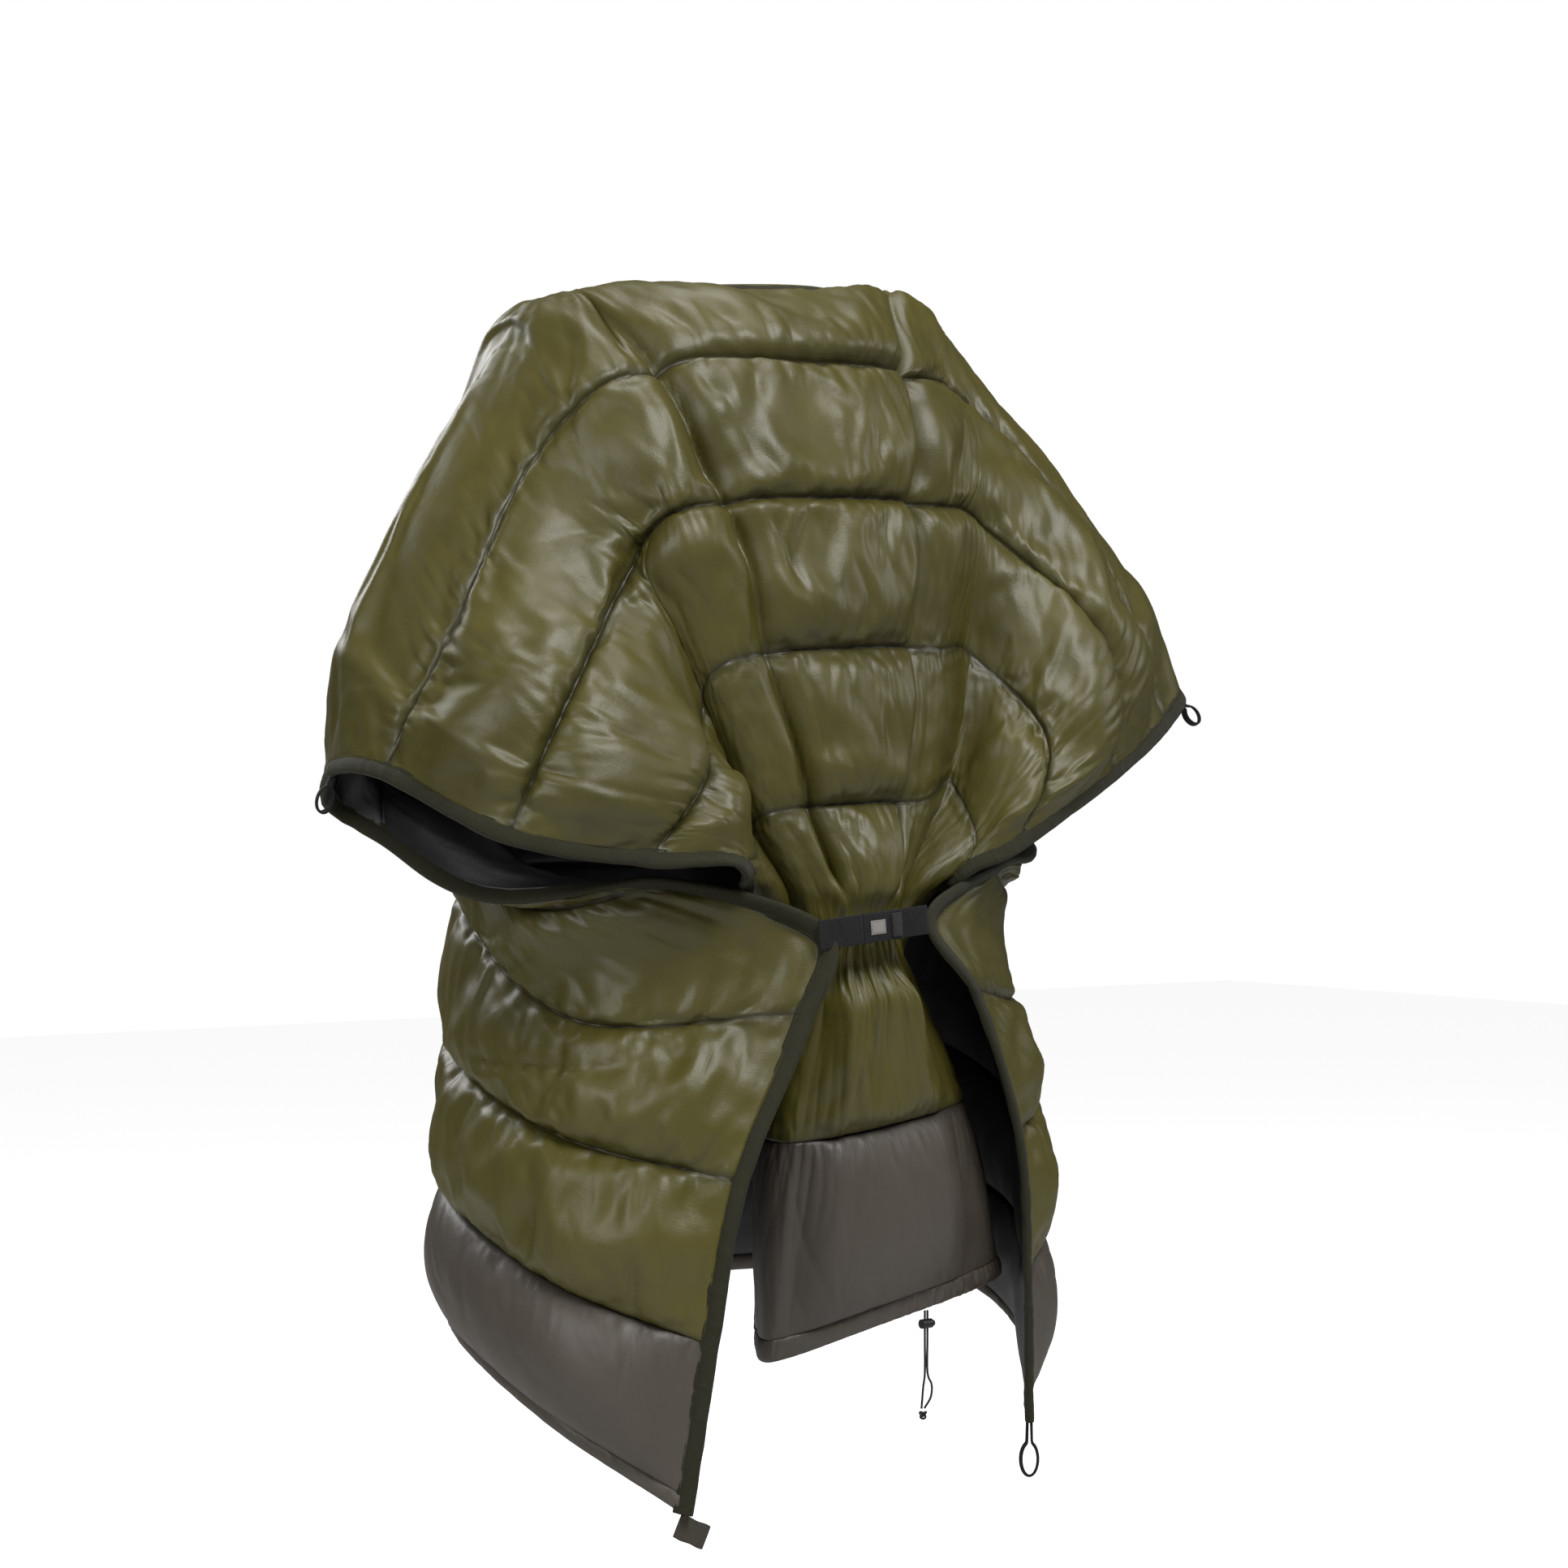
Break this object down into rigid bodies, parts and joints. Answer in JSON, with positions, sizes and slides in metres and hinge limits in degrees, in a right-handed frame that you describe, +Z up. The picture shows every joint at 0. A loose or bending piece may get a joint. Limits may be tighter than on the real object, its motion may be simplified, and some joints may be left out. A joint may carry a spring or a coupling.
{
  "type": "wearable camp quilt",
  "caption": "Insulated camp quilt with a head slit, worn as a belted poncho, with sewn chambers, dark end panels, webbing belt and a hem drawcord.",
  "frame": {"origin": "where the quilt rests on the wearer's shoulders, in the middle of the head slit", "axes": "+Z up, -Y the way the wearer faces, +X to the wearer's left"},
  "size_m": [0.975, 0.4837, 1.1834],
  "materials": {
    "shell": "glossy ripstop nylon, olive green",
    "end_shell": "satin nylon, warm charcoal",
    "lining": "satin nylon, near black",
    "fill": "lofted insulation, hidden inside",
    "binding": "folded woven tape, dull olive",
    "webbing": "ribbed webbing, black",
    "fastener_tape": "hook-and-loop tape, dark grey",
    "tab_webbing": "woven tab, grey brown",
    "label": "plain woven label, pale grey",
    "cord": "braided round cord, charcoal",
    "lock_plastic": "moulded black plastic",
    "spring_steel": "bright spring steel"
  },
  "bodies": {
    "quilt": {"front_fill_chest": "fill", "front_fill_midriff": "fill", "front_fill_waist": "fill", "front_fill_belt": "fill", "front_fill_lap": "fill", "front_fill_end": "fill", "back_fill_chest": "fill", "back_fill_midriff": "fill", "back_fill_waist": "fill", "back_fill_belt": "fill", "back_fill_lap": "fill", "back_fill_end": "fill", "right_shoulder_fill": "fill", "left_shoulder_fill": "fill", "front_collar_fill": "fill", "back_collar_fill": "fill", "front_shell": "shell", "back_shell": "shell", "front_end_shell": "end_shell", "back_end_shell": "end_shell", "front_lining": "lining", "back_lining": "lining", "right_edge_binding": "binding", "left_edge_binding": "binding", "front_hem_channel": "end_shell", "back_hem_channel": "end_shell", "front_neck_binding": "binding", "back_neck_binding": "binding", "right_belt_strap": "webbing", "loop_patch": "fastener_tape", "left_belt_strap": "webbing", "drawcord_strand_a": "cord", "drawcord_strand_b": "cord", "cord_end_knot": "cord"},
    "belt_flap": {"belt_flap": "webbing", "hook_patch": "fastener_tape", "pull_tab": "fastener_tape", "blank_label": "label"},
    "cord_lock": {"cord_lock_barrel": "lock_plastic", "lock_spring": "spring_steel"},
    "cord_lock_button": {"cord_lock_button": "lock_plastic"},
    "left_wing_loop": {"left_wing_loop": "webbing"},
    "right_wing_loop": {"right_wing_loop": "webbing"},
    "left_corner_loop": {"left_corner_loop": "webbing"},
    "right_corner_tab": {"right_corner_tab": "tab_webbing"}
  },
  "joints": [
    {"name": "belt_flap_hinge", "type": "hinge", "parent": "quilt", "child": "belt_flap", "pos_m": [-0.0319, -0.2738, -0.6012], "axis": [0.0872, 0, -0.9962], "range_deg": [0, 110]},
    {"name": "cord_lock_slide", "type": "slide", "parent": "quilt", "child": "cord_lock", "axis": [0, 0, -1], "range_m": [0, 0.035]},
    {"name": "cord_lock_press", "type": "slide", "parent": "cord_lock", "child": "cord_lock_button", "axis": [-1, 0, 0], "range_m": [0, 0.002], "stiffness_N_per_m": 400},
    {"name": "left_wing_loop_swing", "type": "hinge", "parent": "quilt", "child": "left_wing_loop", "pos_m": [0.49782, -0.11182, -0.38347], "axis": [0.6216, 0, 0.7833], "range_deg": [-10, 10]},
    {"name": "right_wing_loop_swing", "type": "hinge", "parent": "quilt", "child": "right_wing_loop", "pos_m": [-0.43141, -0.00124, -0.46285], "axis": [0.9394, 0, -0.3429], "range_deg": [-14, 14]},
    {"name": "left_corner_loop_swing", "type": "hinge", "parent": "quilt", "child": "left_corner_loop", "pos_m": [0.22718, -0.19482, -1.09009], "axis": [0.8253, -0.5646, 0], "range_deg": [-12, 12]},
    {"name": "right_corner_tab_swing", "type": "hinge", "parent": "quilt", "child": "right_corner_tab", "pos_m": [-0.208, -0.24059, -1.11726], "axis": [0.8988, 0, -0.4384], "range_deg": [-60, 60]}
  ]
}
